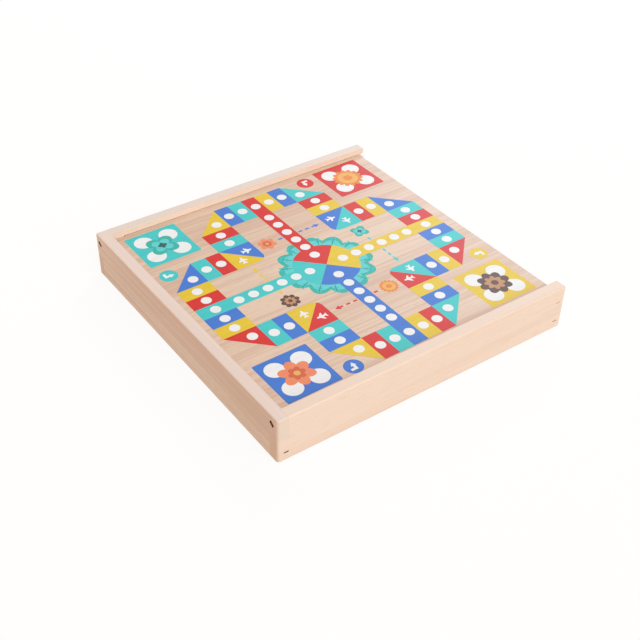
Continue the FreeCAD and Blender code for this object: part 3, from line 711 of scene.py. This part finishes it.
# Every shape of the print as (ink, outline, level). The garland lies under the runs that cross it.
printed = [
    ("sea", petals(0, 0, WREATH_RADIUS, WREATH_LOBES, WREATH_DEPTH_SHARE, half_lobe), UNDER),
    ("mist", petals(0, 0, WREATH_INNER_SHARE * WREATH_RADIUS, WREATH_LOBES, WREATH_DEPTH_SHARE, half_lobe),
     LIFT),
]
for turn, home_ink in enumerate(HOME_INKS):
    for place, (outline, mark, heading) in enumerate(track_quarter):
        ink = TRACK_INKS[(turn * len(track_quarter) + place) % len(TRACK_INKS)]
        printed.append((ink, quarter(outline, turn), TRACK))
        sign = disc(*mark, CIRCLE) if heading is None else turn_by(aeroplane, math.radians(heading)) + mark
        printed.append(("white", quarter(sign, turn), MARK))
    # A home run from the arm to the hub, in one outline with the hub's sector at its end
    run = np.vstack([[(0, 0)], arc(0, 0, HUB_RADIUS, 45, mouth, HUB_STEPS),
                     [(run_side, arm_foot), (-run_side, arm_foot)],
                     arc(0, 0, HUB_RADIUS, 180 - mouth, 135, HUB_STEPS)])
    printed.append((home_ink, quarter(run, turn), TRACK))
    for count in range(RUN_CIRCLES):
        printed.append(("white", quarter(disc(0, RUN_FIRST + RUN_STEP * count, CIRCLE), turn), MARK))
    # A corner home with four places and an ornament in its middle
    x, y = quarter([[HOME_SIDE, HOME_SIDE]], turn)[0]
    y = HOME_REAR if y > 0 else y
    printed.append((home_ink, rounded_square(x, y, HOME_HALF, HOME_ROUND), UNDER))
    for i, j in itertools.product((-1, 1), (-1, 1)):
        printed.append(("white", disc(x + i * HOME_STEP, y + j * HOME_STEP, HOME_CIRCLE), LIFT))
    printed += motif(MOTIFS[turn], x, y, MOTIF_RADIUS, TRACK)
    # The bent arrow that leads from a home to the track
    bent = np.array(BENT_SHARES) * ENTRY_RADIUS + ENTRY_PLACE
    printed.append((home_ink, quarter(disc(*ENTRY_PLACE, ENTRY_RADIUS), turn), UNDER))
    printed.append(("white", quarter(bent, turn), LIFT))
    # A flight from an ornament to an arrowhead, with dashes only beside the home run that it crosses
    long, wide = FLIGHT_DASH
    for count in range(FLIGHT_DASHES):
        middle = FLIGHT_FIRST + FLIGHT_STEP * count
        if abs(middle) > run_side:
            dash = rectangle(middle - long / 2, middle + long / 2,
                             FLIGHT_SIDE - wide / 2, FLIGHT_SIDE + wide / 2)
            printed.append((FLIGHT_INKS[turn], quarter(dash, turn), UNDER))
    back, neck, tip, barb = FLIGHT_HEAD
    side = np.array([(back, wide / 2), (neck, wide / 2), (neck, barb)])
    head = np.vstack([side, [(tip, 0)], side[::-1] * [1, -1]]) + [0, FLIGHT_SIDE]
    printed.append((FLIGHT_INKS[turn], quarter(head, turn), UNDER))
    x, y = quarter([BADGE_PLACE], turn)[0]
    printed += motif(BADGES[turn], x, y, BADGE_RADIUS, UNDER)
    # Sprigs on the garland, each a stem with pairs of leaves
    for heading in SPRIG_HEADINGS:
        way = turn_by([[1, 0]], math.radians(heading))[0]
        stem = leaf(*(HUB_RADIUS * way), SPRIG_LENGTH, STEM_WIDTH, heading)
        printed.append(("pine", quarter(stem, turn), TRACK))
        for share, lean in itertools.product(SPRIG_SHARES, (-SPRIG_LEAN, SPRIG_LEAN)):
            sprout = (HUB_RADIUS + share * SPRIG_LENGTH) * way
            printed.append(("teal", quarter(leaf(*sprout, *SPRIG_LEAF, heading + lean), turn), MARK))

for ink, tone in INK_TONES.items():
    shapes = [(turn_by(outline, PRINT_TURN) + PRINT_SHIFT, (level + 1) * INK_HIGH)
              for name, outline, level in printed if name == ink]
    points, faces = plates(shapes, lid_high.z / MM, 1)
    piece(f"{ink}_ink", points, faces, screen_ink(f"{ink}_screen_ink", tone), "lid",
          False)

# Draughtboard
# The lid's underside carries a second board for the draughts: eight by eight squares inside a frame line,
# screen printed in one brown ink straight on the wood, which serves as the light squares.
# Sizes of a square, of the frame line and of the gap inside it (mm).
SQUARE = 26.0
SQUARES = 8
FRAME_LINE = 1.6
FRAME_GAP = 2.4
CHEQUER_TONE = "#6E4A37"

corner = -SQUARES * SQUARE / 2
edges = corner + SQUARE * np.arange(SQUARES + 1)
shapes = [(rectangle(edges[i], edges[i + 1], edges[j], edges[j + 1]), INK_HIGH)
          for i in range(SQUARES) for j in range(SQUARES) if (i + j) % 2]
outer = -corner + FRAME_GAP + FRAME_LINE
for turn in range(4):
    line = rectangle(-outer, outer - FRAME_LINE, outer - FRAME_LINE, outer)
    shapes.append((quarter(line, turn), INK_HIGH))
points, faces = plates(shapes, lid_low.z / MM, -1)
piece("chequer_ink", points, faces, screen_ink("brown_chequer_ink", CHEQUER_TONE), "lid", False)

# Studio
# A plain white floor under an even warm surround, one broad cool lamp at the front, and a weaker one low
# at the rear right that puts a sheen on the lid.
WHITE = "#FFFFFF"
# Places and sizes of the floor and lamps are metres. The floor's white share hides the rest of its shading.
FLOOR_HALF = 4.0
FLOOR_TONE = "#CCCCCC"
FLOOR_WHITE_SHARE = 0.88
KEY_FROM = (0.0, -0.82, 0.574)
KEY_SPREAD = math.radians(60)
KEY_STRENGTH = 2.09
KEY_TONE = "#E2F5FF"
SHEEN_FROM = (1.30, 1.00, 0.95)
SHEEN_SIZE = 0.8
SHEEN_POWER = 11.4
SHEEN_TONE = "#DAEFFF"
SURROUND_STRENGTH = 0.67
SURROUND_TONE = "#FFE2C7"
# The camera's angles (degrees), its distance from a target (metres), and its lens and sensor (mm).
VIEW_AZIMUTH, VIEW_ELEVATION, VIEW_ROLL = (math.radians(angle) for angle in (-36.164, 38.421, 1.27))
VIEW_AWAY = 0.84806
VIEW_TARGET = np.array((-0.035555, -0.043932, 0.020))
VIEW_LENS = 59.751
VIEW_SENSOR = 36.0

mesh = bpy.data.meshes.new("floor")
corners = rectangle(-FLOOR_HALF, FLOOR_HALF, -FLOOR_HALF, FLOOR_HALF)
mesh.from_pydata(np.c_[corners, np.zeros(4)].tolist(), [], [(0, 1, 2, 3)])
floor = bpy.data.objects.new("floor", mesh)
bpy.context.scene.collection.objects.link(floor)
mesh.materials.append(bpy.data.materials.new("white_paper"))
mesh.materials[0].use_nodes = True


def looked_at(tree):
    """One for the rays of the eye, of reflections and of glass, and zero for those that light."""
    path = add(tree, "ShaderNodeLightPath", {}, {})
    seen = add(tree, "ShaderNodeMath", {"operation": "MAXIMUM"},
               {0: path.outputs["Is Camera Ray"], 1: path.outputs["Is Glossy Ray"]})
    return add(tree, "ShaderNodeMath", {"operation": "MAXIMUM"},
               {0: seen.outputs[0], 1: path.outputs["Is Transmission Ray"]}).outputs[0]


# The floor looks white and keeps a share of the box's shadow. What it throws back on the box is weaker.
tree = mesh.materials[0].node_tree
tree.nodes.clear()
looked = looked_at(tree)
tone = add(tree, "ShaderNodeMix", {"data_type": "RGBA"},
           {0: looked, 6: linear(FLOOR_TONE), 7: linear(WHITE)})
paper = add(tree, "ShaderNodeBsdfDiffuse", {}, {"Color": tone.outputs[2]})
white = add(tree, "ShaderNodeEmission", {}, {"Strength": 1.0})
share = add(tree, "ShaderNodeMath", {"operation": "MULTIPLY"}, {0: looked, 1: FLOOR_WHITE_SHARE})
sheet = add(tree, "ShaderNodeMixShader", {}, {0: share.outputs[0], 1: paper.outputs[0], 2: white.outputs[0]})
add(tree, "ShaderNodeOutputMaterial", {}, {"Surface": sheet.outputs[0]})


def aimed(right, back, place):
    """A world matrix for what looks along its own -Z: right and back are unit axes, and up is the
    cross product of back and right."""
    up = np.cross(back, right)
    return Matrix(np.vstack([np.c_[right, up, back, place], [0, 0, 0, 1]]).tolist())


def lamp(name, kind, place, tone, energy):
    """A lamp at a place that looks at the middle of the floor."""
    light = bpy.data.lights.new(name, kind)
    light.color = linear(tone)[:3]
    light.energy = energy
    shown = bpy.data.objects.new(name, light)
    back = np.array(place) / np.linalg.norm(place)
    right = np.cross((0, 0, 1), back)
    shown.matrix_world = aimed(right / np.linalg.norm(right), back, place)
    bpy.context.scene.collection.objects.link(shown)
    return light


lamp("key", "SUN", KEY_FROM, KEY_TONE, KEY_STRENGTH).angle = KEY_SPREAD
lamp("sheen", "AREA", SHEEN_FROM, SHEEN_TONE, SHEEN_POWER).size = SHEEN_SIZE

# The surround lights softly, and shows as white to the eye and in reflections.
world = bpy.data.worlds.new("surround")
world.use_nodes = True
bpy.context.scene.world = world
tree = world.node_tree
tree.nodes.clear()
glow = add(tree, "ShaderNodeBackground", {}, {"Color": linear(SURROUND_TONE), "Strength": SURROUND_STRENGTH})
white = add(tree, "ShaderNodeBackground", {}, {"Color": linear(WHITE), "Strength": 1.0})
sky = add(tree, "ShaderNodeMixShader", {}, {0: looked_at(tree), 1: glow.outputs[0], 2: white.outputs[0]})
add(tree, "ShaderNodeOutputWorld", {}, {"Surface": sky.outputs[0]})

lens = bpy.data.cameras.new("camera")
lens.sensor_width = VIEW_SENSOR
lens.lens = VIEW_LENS
camera = bpy.data.objects.new("camera", lens)
bpy.context.scene.collection.objects.link(camera)
back = np.array((math.sin(VIEW_AZIMUTH) * math.cos(VIEW_ELEVATION),
                 -math.cos(VIEW_AZIMUTH) * math.cos(VIEW_ELEVATION), math.sin(VIEW_ELEVATION)))
flat = np.array((math.cos(VIEW_AZIMUTH), math.sin(VIEW_AZIMUTH), 0))
right = math.cos(VIEW_ROLL) * flat + math.sin(VIEW_ROLL) * np.cross(back, flat)
camera.matrix_world = aimed(right, back, VIEW_TARGET + VIEW_AWAY * back)
bpy.context.scene.camera = camera
bpy.context.scene.view_settings.view_transform = "Standard"
